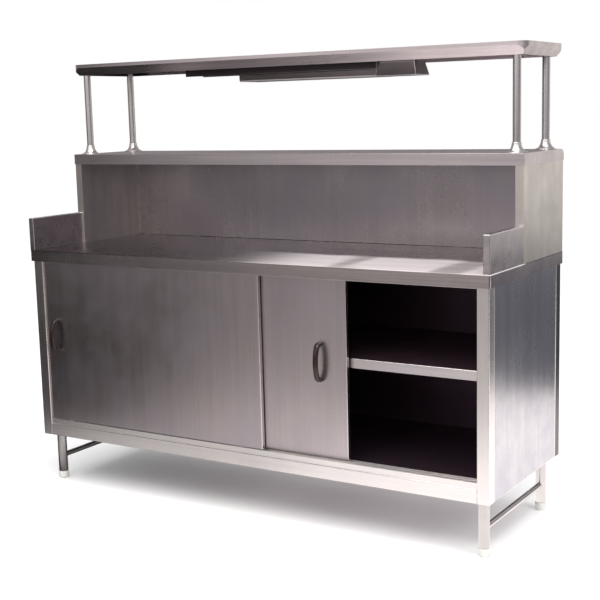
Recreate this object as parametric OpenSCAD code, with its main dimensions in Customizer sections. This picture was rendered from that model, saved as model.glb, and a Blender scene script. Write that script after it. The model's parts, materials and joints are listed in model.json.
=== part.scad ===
// Stainless steel service counter: a sliding-door cabinet on tubular legs, a worktop with end
// splashes, an open-fronted riser and an overshelf on four posts with a food-warming strip under it.
// Frame: X along the length, front at -Y and back at +Y, Z up from the floor.

/* [Worktop] */
// Length of the worktop
worktop_l = 1800; // [1500:10:2400]
// Depth of the worktop
worktop_d = 612; // [560:10:760]
// Height of the worktop above the floor
worktop_h = 870; // [820:5:920]
// Height of the turned-down edge of the worktop
edge_h = 40; // [30:1:60]
// Thickness of the folded steel sheet
sheet = 1.5; // [1:0.1:2]

/* [End splashes] */
// Height of an end splash above the worktop
splash_h = 116; // [60:1:180]
// Thickness of an end splash, folded double
splash_t = 22; // [12:1:30]

/* [Riser] */
// Height of the riser above the worktop
riser_h = 335; // [250:1:420]
// Depth of the riser, front to back
riser_d = 350; // [300:1:420]
// Thickness of a riser side, folded double
riser_side_t = 28; // [20:1:40]
// Height of the turned-down band round the riser's top
riser_band_h = 37; // [25:1:50]
// Radius of the bend at the back of the riser's top
riser_round_r = 24; // [8:1:34]

/* [Overshelf] */
// Top of the overshelf above the floor
overshelf_top = 1538; // [1450:1:1650]
// Distance of the overshelf's front behind the riser's front
overshelf_setback = 12; // [0:1:60]
// Depth of the overshelf
overshelf_d = 334; // [280:1:420]
// Height of the overshelf's edge, lip and slope together
overshelf_edge_h = 40; // [30:1:50]
// Height of the upright lip at the top of that edge
overshelf_lip_h = 12; // [10:1:25]
// How far the sloping part of the edge runs in
overshelf_slope = 20; // [10:1:30]
// Diameter of an overshelf post
post_d = 25.4; // [19:0.1:38]
// Distance of the posts from the ends of the worktop
post_inset = 43; // [36:1:80]

/* [Cabinet] */
// Underside of the cabinet above the floor
base_h = 178; // [120:1:220]
// Distance of the cabinet's end walls in from the worktop's ends
end_inset = 7; // [2:1:30]
// Distance of the cabinet's front in from the worktop's front edge
front_inset = 9; // [3:1:30]
// Distance of the cabinet's back in from the worktop's back edge
back_inset = 3; // [3:1:30]
// Size of a square corner post
corner_w = 40; // [30:1:50]
// Height of the front rail under the doors
rail_h = 44; // [30:1:60]
// Top of the middle shelf above the floor
shelf_z = 572; // [450:1:680]
// Height of the middle shelf's front edge
shelf_edge_h = 31; // [20:1:45]

/* [Sliding doors] */
// How far the closed doors overlap
door_overlap = 170; // [20:1:240]
// How far the right door stands open
door_open = 450; // [250:1:500]
// Thickness of a door
door_t = 15; // [14:0.5:16]
// Radius of a door wheel
wheel_r = 17; // [15:0.5:17.5]
// Length of a bow handle
handle_l = 130; // [100:1:180]
// Distance of the left handle in from its door's left edge
left_handle_inset = 52; // [50:1:120]
// Distance of the right handle in from its door's right edge
right_handle_inset = 96; // [50:1:120]
// How far a bow handle stands out from its door
handle_out = 38; // [30:1:45]

/* [Legs] */
// Diameter of a leg tube
leg_d = 34; // [30:1:42]
// Distance of the legs in from the cabinet's ends
leg_inset = 38; // [30:1:80]
// Distance of the front legs in from the worktop's front edge
leg_front = 60; // [50:1:120]
// Distance of the rear legs in from the worktop's back edge
leg_back = 72; // [50:1:150]
// Height of a foot below its leg tube
foot_h = 26; // [20:1:40]
// Height of the cross rails above the floor
cross_rail_z = 86; // [60:1:110]
// Diameter of a cross rail
cross_rail_d = 19; // [16:1:25]

/* [Food warmer] */
// Length of the warmer's mounting channel
warmer_l = 787; // [600:5:900]
// Length of the reflector
reflector_l = 560; // [400:4:640]
// Length of the terminal box at the right end
box_l = 127; // [100:1:180]
// Middle of the reflector's right end, along X
warmer_x = 335; // [250:1:350]

/* [Hidden] */
$fn = 48;
// Gap between neighbours that are bolted or welded but drawn apart
seam = 0.2;
// A cut that has to break through a face runs this far past it
past = 1;
// The doors: setback of the front one from the cabinet's face, and the pitch of the two tracks
door_setback = 6;
track_pitch = 19.5;
door_sheet = 1.2;
door_play = 1;
// The left handle stands past the worktop's front edge, so the frame's middle moves back by half of that
handle_past_edge = handle_out - front_inset - door_setback;
front_y = -(worktop_d - handle_past_edge) / 2;
back_y = front_y + worktop_d;
half_l = worktop_l / 2;
// Cabinet box
cab_x = half_l - end_inset;
cab_front = front_y + front_inset;
cab_back = back_y - back_inset;
post_in_x = cab_x - corner_w;
post_in_front = cab_front + corner_w;
post_in_back = cab_back - corner_w;
side_panel_t = 19;
panel_recess = 1;
side_in_x = cab_x - panel_recess - side_panel_t;
core_t = 18;
core_z = worktop_h - sheet - core_t;
deck_z = base_h + rail_h + 10;
deck_front = post_in_front + 8;
deck_edge_h = 40;
inner_back = cab_back - 15;
// Tracks: two running channels between three lips
lip_t = 1.5;
track_front = cab_front + 3;
track_w = 2 * track_pitch + lip_t;
track_lip_z = base_h + rail_h + 19;
head_lip_h = 24.5;
head_z = core_z - head_lip_h;
// Doors
opening_w = 2 * post_in_x;
door_w = (opening_w + door_overlap) / 2;
door_z = track_lip_z + 2;
door_top = core_z - 6.5;
door_h = door_top - door_z;
left_door_x = -post_in_x + door_play;
right_door_x = post_in_x - door_play - door_open - door_w;
front_door_y = cab_front + door_setback;
rear_door_y = front_door_y + track_pitch;
wheel_z = deck_z + 0.3 + wheel_r;
wheel_w = 6;
axle_r = 2.45;
wheel_bore_r = 2.5;
runner_inset = 90;
shoe_inset = 60;
handle_z = 556;
handle_bar_w = 16;
handle_bar_t = 9;
// Riser
worktop_corner_r = 6;
riser_top = worktop_h + riser_h;
riser_front = back_y - riser_d;
riser_x = half_l - 2;
riser_in_x = riser_x - riser_side_t;
riser_back_t = 12;
riser_back_y = back_y - 2 - riser_back_t;
channel_h = 20;
channel_w = 40;
// Overshelf
shelf_front = riser_front + overshelf_setback;
shelf_back = shelf_front + overshelf_d;
shelf_mid_y = (shelf_front + shelf_back) / 2;
shelf_corner = 36;
post_r = post_d / 2;
post_x = half_l - post_inset;
post_front_y = shelf_front + 34.5;
post_back_y = back_y - riser_round_r - 28.5;
bracket_h = 29.5;
bracket_w = 44;
bracket_z = overshelf_top - sheet - bracket_h;
spine_z = overshelf_top - sheet - 22;
spine_w = 60;
flange_r = 33;
flange_h = 32;
rod_r = 4;
rod_hole_r = 4.5;
nut_h = 6.5;
nut_r = 7.5;
fit = 0.1;
// Legs and feet
leg_x = cab_x - leg_inset;
leg_front_y = front_y + leg_front;
leg_back_y = back_y - leg_back;
leg_r = leg_d / 2;
tube_wall = 1.5;
leg_plate_t = 2.5;
leg_plate_r = 24;
foot_gap = 0.3;
stem_r = 5;
stem_bore_r = 5.05;
insert_h = 40;
stem_h = 36;
cross_r = cross_rail_d / 2;
// Warmer
channel_half_w = 53.5;
reflector_top = 1500;
reflector_mouth = 1457;
reflector_lip = 4;
reflector_top_half_w = 38;
reflector_mouth_half_w = 60;
cap_slope = 17;
box_half_w = 60;
box_top_half_w = 40;
box_slope = 21;
element_z = 1478;
element_r = 4;
holder_inset = 20;
gland_bore_r = 4.5;
gland_body_r = 8;
gland_flange_r = 11;
gland_len = 24;
warmer_left = warmer_x - warmer_l;
reflector_left = warmer_x - reflector_l;
screw_r = 2.4;
screw_hole_r = 2.5;
screw_head_r = 4.5;

// ---- helpers ----

// Carries a profile along X: the profile's x lies along Y, its y along Z
module along_x(len) {
    translate([-len / 2, 0, 0])
        rotate([90, 0, 90])
            linear_extrude(len) children();
}

// Carries a profile along Y from y0 to y1: the profile's x lies along X, its y along Z
module along_y(y0, y1) {
    translate([0, y1, 0])
        rotate([90, 0, 0])
            linear_extrude(y1 - y0) children();
}

// Box between two corners
module block(a, b) {
    translate(a) cube(b - a);
}

// Flat plate with round corners, its underside at z
module round_plate(sx, sy, r, z, t) {
    translate([-sx / 2 + r, -sy / 2, z]) cube([sx - 2 * r, sy, t]);
    translate([-sx / 2, -sy / 2 + r, z]) cube([sx, sy - 2 * r, t]);
    for (qx = [-1, 1], qy = [-1, 1])
        translate([qx * (sx / 2 - r), qy * (sy / 2 - r), z]) cylinder(r = r, h = t);
}

// Carries an edge profile round a rectangle with corners of radius r.
// The profile's x is the distance out from a corner's centre, its y is the height.
module rim(sx, sy, r) {
    for (k = [0 : 3]) {
        qx = (k == 0 || k == 3) ? 1 : -1;
        qy = k < 2 ? 1 : -1;
        translate([qx * (sx / 2 - r), qy * (sy / 2 - r), 0])
            rotate([0, 0, 90 * k]) rotate_extrude(angle = 90) children();
    }
    for (turn = [0, 180]) {
        rotate([0, 0, turn])
            translate([0, sy / 2 - r, 0]) along_x(sx - 2 * r) children();
        rotate([0, 0, turn])
            translate([sx / 2 - r, 0, 0]) along_y(-(sy / 2 - r), sy / 2 - r) children();
    }
}

// Folded double wall, open underneath: outer box with the sheet's thickness left all round
module double_wall(a, b) {
    difference() {
        block(a, b);
        block([a[0] + sheet, a[1] + sheet, a[2] - past], b - [sheet, sheet, sheet]);
    }
}

// Hat section, w wide and h high under z, with its two feet turned out
module hat_profile(w, h, z) {
    foot = 8;
    polygon([
        [-w / 2 + foot, z - h], [w / 2 - foot, z - h], [w / 2 - foot, z - sheet],
        [w / 2, z - sheet], [w / 2, z], [w / 2 - foot - sheet, z],
        [w / 2 - foot - sheet, z - h + sheet], [-w / 2 + foot + sheet, z - h + sheet],
        [-w / 2 + foot + sheet, z], [-w / 2, z], [-w / 2, z - sheet], [-w / 2 + foot, z - sheet]
    ]);
}

// Shelf tray that fits between the end walls and round the two rear posts
module inner_tray(top_z, edge) {
    clear = seam;
    side = side_in_x - clear;
    narrow = post_in_x - clear;
    notch_y = post_in_back - clear;
    low = top_z - edge;
    block([-side, deck_front, top_z - sheet], [side, notch_y, top_z]);
    block([-narrow, notch_y - past, top_z - sheet], [narrow, inner_back, top_z]);
    block([-side, deck_front, low], [side, deck_front + sheet, top_z]);
    block([-narrow, inner_back - sheet, low], [narrow, inner_back, top_z]);
    for (s = [-1, 1]) {
        x0 = min(s * side, s * (side - sheet));
        block([x0, deck_front, low], [x0 + sheet, notch_y, top_z]);
    }
}

// Places its children at the four overshelf posts
module at_posts() {
    for (x = [-post_x, post_x], y = [post_front_y, post_back_y]) translate([x, y, 0]) children();
}

// Places its children at the four legs
module at_legs() {
    for (x = [-leg_x, leg_x], y = [leg_front_y, leg_back_y]) translate([x, y, 0]) children();
}

// Round tube standing from z0 to z1
module tube(r, wall, z0, z1) {
    translate([0, 0, z0]) difference() {
        cylinder(r = r, h = z1 - z0);
        translate([0, 0, -past]) cylinder(r = r - wall, h = z1 - z0 + 2 * past);
    }
}

// ---- worktop, splashes and riser ----

module worktop_pan() {
    color([0.72, 0.72, 0.73]) translate([0, (front_y + back_y) / 2, 0]) {
        round_plate(worktop_l, worktop_d, worktop_corner_r, worktop_h - sheet, sheet);
        rim(worktop_l, worktop_d, worktop_corner_r) {
            translate([worktop_corner_r - sheet, worktop_h - edge_h]) square([sheet, edge_h]);
        }
    }
}

module worktop_core_board() {
    color([0.62, 0.48, 0.32])
        block([-cab_x, cab_front, core_z], [cab_x, cab_back, core_z + core_t]);
}

module end_splash(side) {
    outer = side * (half_l - 1);
    inner = side * (half_l - 1 - splash_t);
    color([0.7, 0.7, 0.71]) double_wall(
        [min(outer, inner), front_y, worktop_h],
        [max(outer, inner), riser_front + sheet - seam, worktop_h + splash_h]
    );
}

// Side outline of the riser, moved in by inset, from low up: its top bends down at the back
module riser_outline(inset, low) {
    y0 = riser_front + inset;
    y1 = back_y - inset;
    top = riser_top - inset;
    r = riser_round_r - inset;
    translate([y0, low]) square([y1 - r - y0, top - low]);
    translate([y0, low]) square([y1 - y0, top - r - low]);
    translate([y1 - r, top - r]) intersection() {
        circle(r = r);
        square([r, r]);
    }
}

module riser_side(side) {
    gap = sheet + seam;
    color([0.7, 0.7, 0.71]) translate([side * (riser_x - riser_side_t / 2), 0, 0]) difference() {
        along_x(riser_side_t) riser_outline(gap, worktop_h);
        along_x(riser_side_t - 2 * sheet) riser_outline(gap + sheet, worktop_h - past);
    }
}

module riser_back_panel() {
    x = riser_in_x - seam;
    high = riser_top - riser_round_r - 2 * sheet;
    color([0.5, 0.49, 0.49]) difference() {
        block([-x, riser_back_y, worktop_h], [x, back_y - 2, high]);
        block([-x + sheet, riser_back_y + sheet, worktop_h + sheet], [x - sheet, back_y, high - sheet]);
    }
}

module riser_top_pan() {
    band_z = riser_top - riser_band_h;
    color([0.72, 0.71, 0.72]) difference() {
        along_x(worktop_l) riser_outline(0, band_z);
        along_x(worktop_l - 2 * sheet) riser_outline(sheet, band_z - past);
        at_posts() translate([0, 0, riser_top - sheet - past])
            cylinder(r = rod_hole_r, h = sheet + 2 * past);
    }
}

module riser_channels() {
    color([0.6, 0.6, 0.6]) difference() {
        for (y = [post_front_y, post_back_y])
            translate([0, y, 0]) along_x(2 * (riser_in_x - seam)) hat_profile(channel_w, channel_h, riser_top - sheet);
        at_posts() translate([0, 0, riser_top - sheet - channel_h - past])
            cylinder(r = rod_hole_r, h = channel_h);
    }
}

// ---- overshelf and posts ----

module overshelf_posts() {
    color([0.78, 0.78, 0.79]) at_posts() tube(post_r, tube_wall, riser_top, bracket_z);
}

module post_flanges() {
    neck_r = post_r + 2.5;
    foot_t = 3;
    color([0.82, 0.82, 0.83]) at_posts() translate([0, 0, riser_top]) rotate_extrude() polygon(concat(
        [[post_r + fit, 0], [flange_r, 0]],
        [for (a = [90 : -10 : 0]) [
            flange_r - (flange_r - neck_r) * cos(a),
            flange_h - (flange_h - foot_t) * sin(a)
        ]],
        [[post_r + fit, flange_h]]
    ));
}

module post_tie_rods() {
    web_low = riser_top - sheet - channel_h;
    web_high = bracket_z + sheet;
    color([0.66, 0.66, 0.64]) at_posts() {
        translate([0, 0, web_low - nut_h - 3]) cylinder(r = rod_r, h = web_high - web_low + 2 * nut_h + 6);
        for (z = [web_low - nut_h, web_high]) translate([0, 0, z]) difference() {
            cylinder(r = nut_r, h = nut_h, $fn = 6);
            translate([0, 0, -past]) cylinder(r = rod_r, h = nut_h + 2 * past);
        }
    }
}

// The overshelf's outside form, moved in by inset: upright lip above, slope below, from low up to top
module overshelf_form(inset, low, top) {
    bend = overshelf_top - overshelf_lip_h;
    foot = overshelf_top - overshelf_edge_h;
    half_x = worktop_l / 2 - inset;
    half_d = overshelf_d / 2 - inset;
    drop = (bend - low) / (bend - foot) * overshelf_slope;
    intersection() {
        round_plate(2 * half_x, 2 * half_d, shelf_corner - inset, low, top - low);
        along_x(2 * worktop_l) polygon([
            [-half_d, top + past], [-half_d, bend], [-half_d + drop, low],
            [half_d - drop, low], [half_d, bend], [half_d, top + past]
        ]);
        along_y(-overshelf_d, overshelf_d) polygon([
            [-half_x, top + past], [-half_x, bend], [-half_x + drop, low],
            [half_x - drop, low], [half_x, bend], [half_x, top + past]
        ]);
    }
}

module overshelf_pan() {
    low = overshelf_top - overshelf_edge_h;
    color([0.74, 0.73, 0.73]) translate([0, shelf_mid_y, 0]) difference() {
        overshelf_form(0, low, overshelf_top);
        overshelf_form(sheet, low - past, overshelf_top - sheet);
    }
}

module overshelf_channels() {
    color([0.55, 0.55, 0.55]) {
        difference() {
            for (x = [-post_x, post_x]) translate([x, 0, 0])
                along_y(shelf_front + overshelf_slope, shelf_back - overshelf_slope) hat_profile(bracket_w + 16, bracket_h, overshelf_top - sheet);
            at_posts() translate([0, 0, bracket_z - past]) cylinder(r = rod_hole_r, h = sheet + 2 * past);
        }
        difference() {
            translate([0, shelf_mid_y, 0])
                along_x(2 * (post_x - bracket_w)) hat_profile(spine_w + 16, overshelf_top - sheet - spine_z, overshelf_top - sheet);
            at_warmer_screws() translate([0, 0, spine_z - past]) cylinder(r = screw_hole_r, h = sheet + 2 * past);
        }
    }
}

// ---- food warmer ----

// Places its children at the screws that hold the warmer up
module at_warmer_screws() {
    for (x = [warmer_left + 60, warmer_x - 120], y = [-12, 12])
        translate([x, shelf_mid_y + y, 0]) children();
}

module warmer_channel() {
    low = 1479;
    w = channel_half_w;
    color([0.25, 0.23, 0.24]) difference() {
        translate([warmer_left + warmer_l / 2, shelf_mid_y, 0]) along_x(warmer_l) polygon([
            [-w, low], [-w + sheet, low], [-w + sheet, spine_z - sheet], [w - sheet, spine_z - sheet],
            [w - sheet, low], [w, low], [w, spine_z], [-w, spine_z]
        ]);
        at_warmer_screws() translate([0, 0, spine_z - sheet - past])
            cylinder(r = screw_hole_r, h = sheet + 2 * past);
    }
}

// Flared trough in section, open at the bottom
module trough_profile(skin) {
    a = reflector_top_half_w;
    b = reflector_mouth_half_w;
    low = reflector_mouth - reflector_lip;
    polygon([
        [-b, low], [-b, reflector_mouth], [-a, reflector_top], [a, reflector_top],
        [b, reflector_mouth], [b, low], [b - skin, low], [b - skin, reflector_mouth - 0.5],
        [a - 0.6, reflector_top - skin], [-a + 0.6, reflector_top - skin],
        [-b + skin, reflector_mouth - 0.5], [-b + skin, low]
    ]);
}

// Half-space left of the slanting end of the reflector, moved in by inset
module slanted_end(inset) {
    low = reflector_mouth - reflector_lip;
    far = 200;
    translate([0, shelf_mid_y, 0]) along_y(-far, far) polygon([
        [reflector_left + cap_slope + inset, low - past], [reflector_left + inset - 2, reflector_top + past],
        [reflector_left - far, reflector_top + past], [reflector_left - far, low - past]
    ]);
}

module warmer_reflector() {
    color([0.42, 0.41, 0.42]) difference() {
        translate([warmer_x - reflector_l / 2, shelf_mid_y, 0]) along_x(reflector_l) trough_profile(1);
        slanted_end(0);
    }
}

module warmer_end_cap() {
    a = reflector_top_half_w;
    b = reflector_mouth_half_w;
    low = reflector_mouth - reflector_lip;
    color([0.35, 0.34, 0.35]) difference() {
        intersection() {
            translate([reflector_left + 20, shelf_mid_y, 0]) along_x(80) polygon([
                [-b + 1.2, low], [-b + 1.2, reflector_mouth - 0.6], [-a + 0.7, reflector_top - 1.2],
                [a - 0.7, reflector_top - 1.2], [b - 1.2, reflector_mouth - 0.6], [b - 1.2, low]
            ]);
            slanted_end(1.2);
        }
        slanted_end(0);
    }
}

// Terminal box's outside form, its walls moved in by inset: its front flares like the reflector's
module box_form(inset, low) {
    x0 = warmer_x + seam + inset;
    x1 = warmer_x + seam + box_l - inset;
    a = box_top_half_w - inset;
    b = box_half_w - inset;
    shoulder = reflector_top;
    flare = (b - a) * (shoulder - low) / (shoulder - reflector_mouth);
    slope = box_slope * (spine_z - low) / (spine_z - reflector_mouth);
    translate([0, shelf_mid_y, 0]) intersection() {
        along_x(4 * warmer_l) polygon([
            [-a - flare, low], [-a, shoulder], [-a, spine_z + inset], [a, spine_z + inset], [a, low]
        ]);
        along_y(-2 * b, 2 * b) polygon([
            [x0, low], [x1 + slope, low], [x1, spine_z], [x1, spine_z + inset], [x0, spine_z + inset]
        ]);
    }
}

module warmer_terminal_box() {
    low = reflector_mouth - reflector_lip;
    color([0.3, 0.29, 0.3]) difference() {
        box_form(0, low);
        box_form(sheet, low + sheet);
        gland_place() translate([0, 0, -sheet - past]) cylinder(r = gland_body_r, h = sheet + 2 * past);
        translate([warmer_x - past, shelf_mid_y, element_z]) rotate([0, 90, 0])
            cylinder(r = element_r + 1, h = sheet + 2 * past);
    }
}

module heating_element() {
    x0 = reflector_left + cap_slope + holder_inset - 6;
    color([0.2, 0.17, 0.16]) translate([x0, shelf_mid_y, element_z]) rotate([0, 90, 0])
        cylinder(r = element_r, h = warmer_x + 18 - x0);
}

module element_holders() {
    color([0.9, 0.88, 0.82]) for (x = [reflector_left + cap_slope + holder_inset, warmer_x - holder_inset])
        difference() {
            block(
                [x - 5, shelf_mid_y - 12, element_z - 8],
                [x + 5, shelf_mid_y + 12, reflector_top - 1]
            );
            translate([x - 5 - past, shelf_mid_y, element_z]) rotate([0, 90, 0])
                cylinder(r = element_r + fit, h = 10 + 2 * past);
        }
}

module terminal_block() {
    x = warmer_x + 60;
    low = reflector_mouth - reflector_lip + sheet;
    color([0.88, 0.86, 0.8]) difference() {
        block([x, shelf_mid_y - 22, low], [x + 26, shelf_mid_y + 22, low + 16]);
        for (k = [-1 : 1]) translate([x - past, shelf_mid_y + 14 * k, low + 6]) rotate([0, 90, 0])
            cylinder(r = 2.2, h = 26 + 2 * past);
    }
}

// Stands its children on the terminal box's back wall, with +Z pointing to the back
module gland_place() {
    translate([warmer_x + box_l / 2, shelf_mid_y + box_top_half_w, element_z + 4]) rotate([-90, 0, 0]) children();
}

module cable_gland() {
    color([0.12, 0.12, 0.12]) gland_place() difference() {
        union() {
            translate([0, 0, -8]) cylinder(r = gland_body_r - fit, h = 8);
            cylinder(r = gland_flange_r, h = 6, $fn = 6);
            translate([0, 0, 6]) cylinder(r = gland_body_r, h = gland_len - 14);
        }
        translate([0, 0, -8 - past]) cylinder(r = gland_bore_r, h = gland_len + 2 * past);
    }
}

// Two hat-shaped hangers between the channel and the reflector
module warmer_hangers() {
    high = spine_z - sheet;
    color([0.4, 0.4, 0.4]) for (x = [reflector_left + 70, warmer_x - 70])
        translate([x, shelf_mid_y, 0]) along_x(40) hat_profile(56, high - reflector_top, high);
}

module warmer_screws() {
    color([0.7, 0.7, 0.68]) at_warmer_screws() {
        translate([0, 0, spine_z - sheet - 2.5]) cylinder(r = screw_head_r, h = 2.5);
        translate([0, 0, spine_z - sheet]) cylinder(r = screw_r, h = 12);
    }
}

// ---- cabinet ----

module side_panel(side) {
    outer = side * (cab_x - panel_recess);
    inner = side * side_in_x;
    x0 = min(outer, inner);
    x1 = max(outer, inner);
    y0 = post_in_front + seam;
    y1 = post_in_back - seam;
    color([0.7, 0.69, 0.7]) difference() {
        block([x0, y0, base_h], [x1, y1, core_z]);
        translate([-side * sheet, 0, 0])
            block([x0, y0 + sheet, base_h + sheet], [x1, y1 - sheet, core_z - sheet]);
    }
}

module back_panel() {
    x = post_in_x - seam;
    color([0.55, 0.55, 0.55]) difference() {
        block([-x, inner_back + seam, base_h], [x, cab_back - panel_recess, core_z]);
        block(
            [-x + sheet, inner_back - past, base_h + sheet],
            [x - sheet, cab_back - panel_recess - sheet, core_z - sheet]
        );
    }
}

// Square tube standing from the cabinet's underside to the core board
module corner_post(x0, y0) {
    difference() {
        block([x0, y0, base_h], [x0 + corner_w, y0 + corner_w, core_z]);
        block(
            [x0 + sheet, y0 + sheet, base_h - past],
            [x0 + corner_w - sheet, y0 + corner_w - sheet, core_z + past]
        );
    }
}

module front_posts() {
    color([0.82, 0.81, 0.8]) for (x = [-cab_x, post_in_x]) corner_post(x, cab_front);
}

module rear_posts() {
    color([0.5, 0.5, 0.5]) for (x = [-cab_x, post_in_x]) corner_post(x, post_in_back);
}

module bottom_deck() {
    color([0.35, 0.34, 0.34]) inner_tray(deck_z, deck_edge_h);
}

module middle_shelf() {
    color([0.75, 0.74, 0.73]) inner_tray(shelf_z, shelf_edge_h);
}

module shelf_supports() {
    leg = 20;
    thick = 2;
    low = shelf_z - shelf_edge_h;
    y0 = post_in_front + 10;
    y1 = post_in_back - 10;
    color([0.5, 0.5, 0.5]) for (s = [-1, 1]) scale([s, 1, 1]) along_y(y0, y1) polygon([
        [side_in_x, low - leg], [side_in_x, low], [side_in_x - leg, low],
        [side_in_x - leg, low - thick], [side_in_x - thick, low - thick], [side_in_x - thick, low - leg]
    ]);
}

module deck_channels() {
    color([0.5, 0.5, 0.5]) for (x = [-post_in_x / 2, 0, post_in_x / 2]) translate([x, 0, 0])
        along_y(deck_front + 3, inner_back - 3) hat_profile(60, 30, deck_z - sheet);
}

module bottom_rail() {
    top = base_h + rail_h;
    color([0.8, 0.79, 0.78]) along_x(opening_w - 2 * seam) polygon([
        [cab_front, base_h], [cab_front + 24, base_h], [cab_front + 24, base_h + sheet],
        [cab_front + sheet, base_h + sheet], [cab_front + sheet, top - sheet],
        [deck_front - 1, top - sheet], [deck_front - 1, top], [cab_front, top]
    ]);
}

// Three lips and two running floors, folded from one strip
module bottom_track() {
    low = base_h + rail_h;
    floor_t = 1.5;
    color([0.8, 0.79, 0.78]) along_x(opening_w - 2 * seam) union() {
        for (k = [0 : 2]) translate([track_front + k * track_pitch, low])
            square([lip_t, track_lip_z - low]);
        translate([track_front, deck_z - floor_t]) square([track_w, floor_t]);
    }
}

module head_track() {
    top_t = 1.5;
    color([0.6, 0.6, 0.6]) along_x(opening_w - 2 * seam) union() {
        for (k = [0 : 2]) translate([track_front + k * track_pitch, head_z])
            square([lip_t, head_lip_h]);
        translate([track_front, core_z - top_t]) square([track_w, top_t]);
    }
}

// ---- legs and feet ----

module leg_plates() {
    color([0.7, 0.7, 0.7]) at_legs() translate([0, 0, base_h - leg_plate_t])
        cylinder(r = leg_plate_r, h = leg_plate_t);
}

module leg(x, y) {
    color([0.72, 0.71, 0.72]) translate([x, y, 0])
        tube(leg_r, tube_wall, foot_h + foot_gap, base_h - leg_plate_t);
}

module cross_rails() {
    color([0.68, 0.67, 0.69]) difference() {
        for (x = [-leg_x, leg_x]) translate([x, 0, cross_rail_z]) rotate([-90, 0, 0])
            translate([0, 0, leg_front_y]) difference() {
                cylinder(r = cross_r, h = leg_back_y - leg_front_y);
                cylinder(r = cross_r - tube_wall, h = leg_back_y - leg_front_y);
            }
        at_legs() translate([0, 0, cross_rail_z - 2 * cross_r]) cylinder(r = leg_r + fit, h = 4 * cross_r);
    }
}

module foot_inserts() {
    color([0.2, 0.2, 0.2]) at_legs()
        tube(leg_r - tube_wall - fit, leg_r - tube_wall - fit - stem_bore_r, foot_h + foot_gap, foot_h + foot_gap + insert_h);
}

// Bullet foot: flat pad, round nose, straight collar and a stem up into the leg
module foot(x, y) {
    pad_r = 11;
    collar = 8;
    nose = foot_h - collar;
    rim_r = leg_r + 1.5;
    color([0.92, 0.91, 0.89]) translate([x, y, 0]) rotate_extrude() polygon(concat(
        [[0, 0], [pad_r, 0]],
        [for (a = [10 : 10 : 90]) [
            pad_r + (rim_r - pad_r) * sin(a),
            nose * (1 - cos(a))
        ]],
        [[rim_r, foot_h], [stem_r, foot_h], [stem_r, foot_h + stem_h], [0, foot_h + stem_h]]
    ));
}

// ---- sliding doors ----

// Wheel places along a door's own length
function runner_at(door_x) = [door_x + runner_inset, door_x + door_w - runner_inset];

module door_skin(x, y) {
    slot_l = 2 * wheel_r;
    slot_w = wheel_w + 3;
    mid_y = y + door_t / 2;
    color([0.55, 0.53, 0.53]) difference() {
        block([x, y, door_z], [x + door_w, y + door_t, door_top]);
        block(
            [x + door_sheet, y + door_sheet, door_z + door_sheet],
            [x + door_w - door_sheet, y + door_t + past, door_top - door_sheet]
        );
        for (rx = runner_at(x)) block(
            [rx - slot_l / 2, mid_y - slot_w / 2, door_z - past],
            [rx + slot_l / 2, mid_y + slot_w / 2, door_z + door_sheet + past]
        );
    }
}

module door_liner(x, y) {
    inset = door_sheet + fit;
    color([0.45, 0.44, 0.44]) block(
        [x + inset, y + door_t - door_sheet, door_z + inset],
        [x + door_w - inset, y + door_t, door_top - inset]
    );
}

// Bow handle: a strap bent to an arc, on two round feet
module door_handle(x, y) {
    chord = handle_l - 18;
    rise = handle_out - handle_bar_t / 2;
    bow_r = (chord * chord / 4 + rise * rise) / (2 * rise);
    half_angle = asin(chord / 2 / bow_r);
    color([0.16, 0.1, 0.08]) translate([x, y, handle_z]) {
        intersection() {
            translate([0, bow_r - rise, 0]) rotate([0, 90, 0]) rotate([0, 0, 180 - half_angle + 90])
                rotate_extrude(angle = 2 * half_angle) translate([bow_r, 0]) bar_section();
            block([-handle_bar_w, -handle_out - past, -handle_l], [handle_bar_w, -2, handle_l]);
        }
        for (s = [-1, 1]) translate([0, 0, s * chord / 2]) rotate([90, 0, 0]) cylinder(r = 9, h = 7);
    }
}

// Section of the handle's strap: flat with round sides
module bar_section() {
    side_r = handle_bar_t / 2;
    reach = handle_bar_w / 2 - side_r;
    square([handle_bar_t, 2 * reach], center = true);
    for (s = [-1, 1]) translate([0, s * reach]) circle(r = side_r);
}

// Fork and axle for each wheel, and the nylon shoes that guide the door's top edge
module door_runners(x, y) {
    mid_y = y + door_t / 2;
    fork_l = 2 * wheel_r + 6;
    fork_low = door_z + door_sheet;
    fork_high = wheel_z + wheel_r + 4;
    cheek_in = wheel_w / 2 + 1;
    cheek_t = 1.5;
    shoe_l = 40;
    shoe_w = 16.8;
    color([0.7, 0.7, 0.68]) for (rx = runner_at(x)) {
        for (s = [-1, 1]) difference() {
            cheek_y = mid_y + min(s * cheek_in, s * (cheek_in + cheek_t));
            block([rx - fork_l / 2, cheek_y, fork_low], [rx + fork_l / 2, cheek_y + cheek_t, fork_high]);
            translate([rx, cheek_y - past, wheel_z]) rotate([-90, 0, 0])
                cylinder(r = axle_r, h = cheek_t + 2 * past);
        }
        block(
            [rx - fork_l / 2, mid_y - cheek_in - cheek_t, fork_high],
            [rx + fork_l / 2, mid_y + cheek_in + cheek_t, fork_high + cheek_t]
        );
        translate([rx, mid_y - cheek_in - cheek_t, wheel_z]) rotate([-90, 0, 0])
            cylinder(r = axle_r, h = 2 * (cheek_in + cheek_t));
    }
    color([0.9, 0.9, 0.88]) for (sx = [x + shoe_inset, x + door_w - shoe_inset]) block(
        [sx - shoe_l / 2, mid_y - shoe_w / 2, door_top],
        [sx + shoe_l / 2, mid_y + shoe_w / 2, door_top + 3]
    );
}

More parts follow.
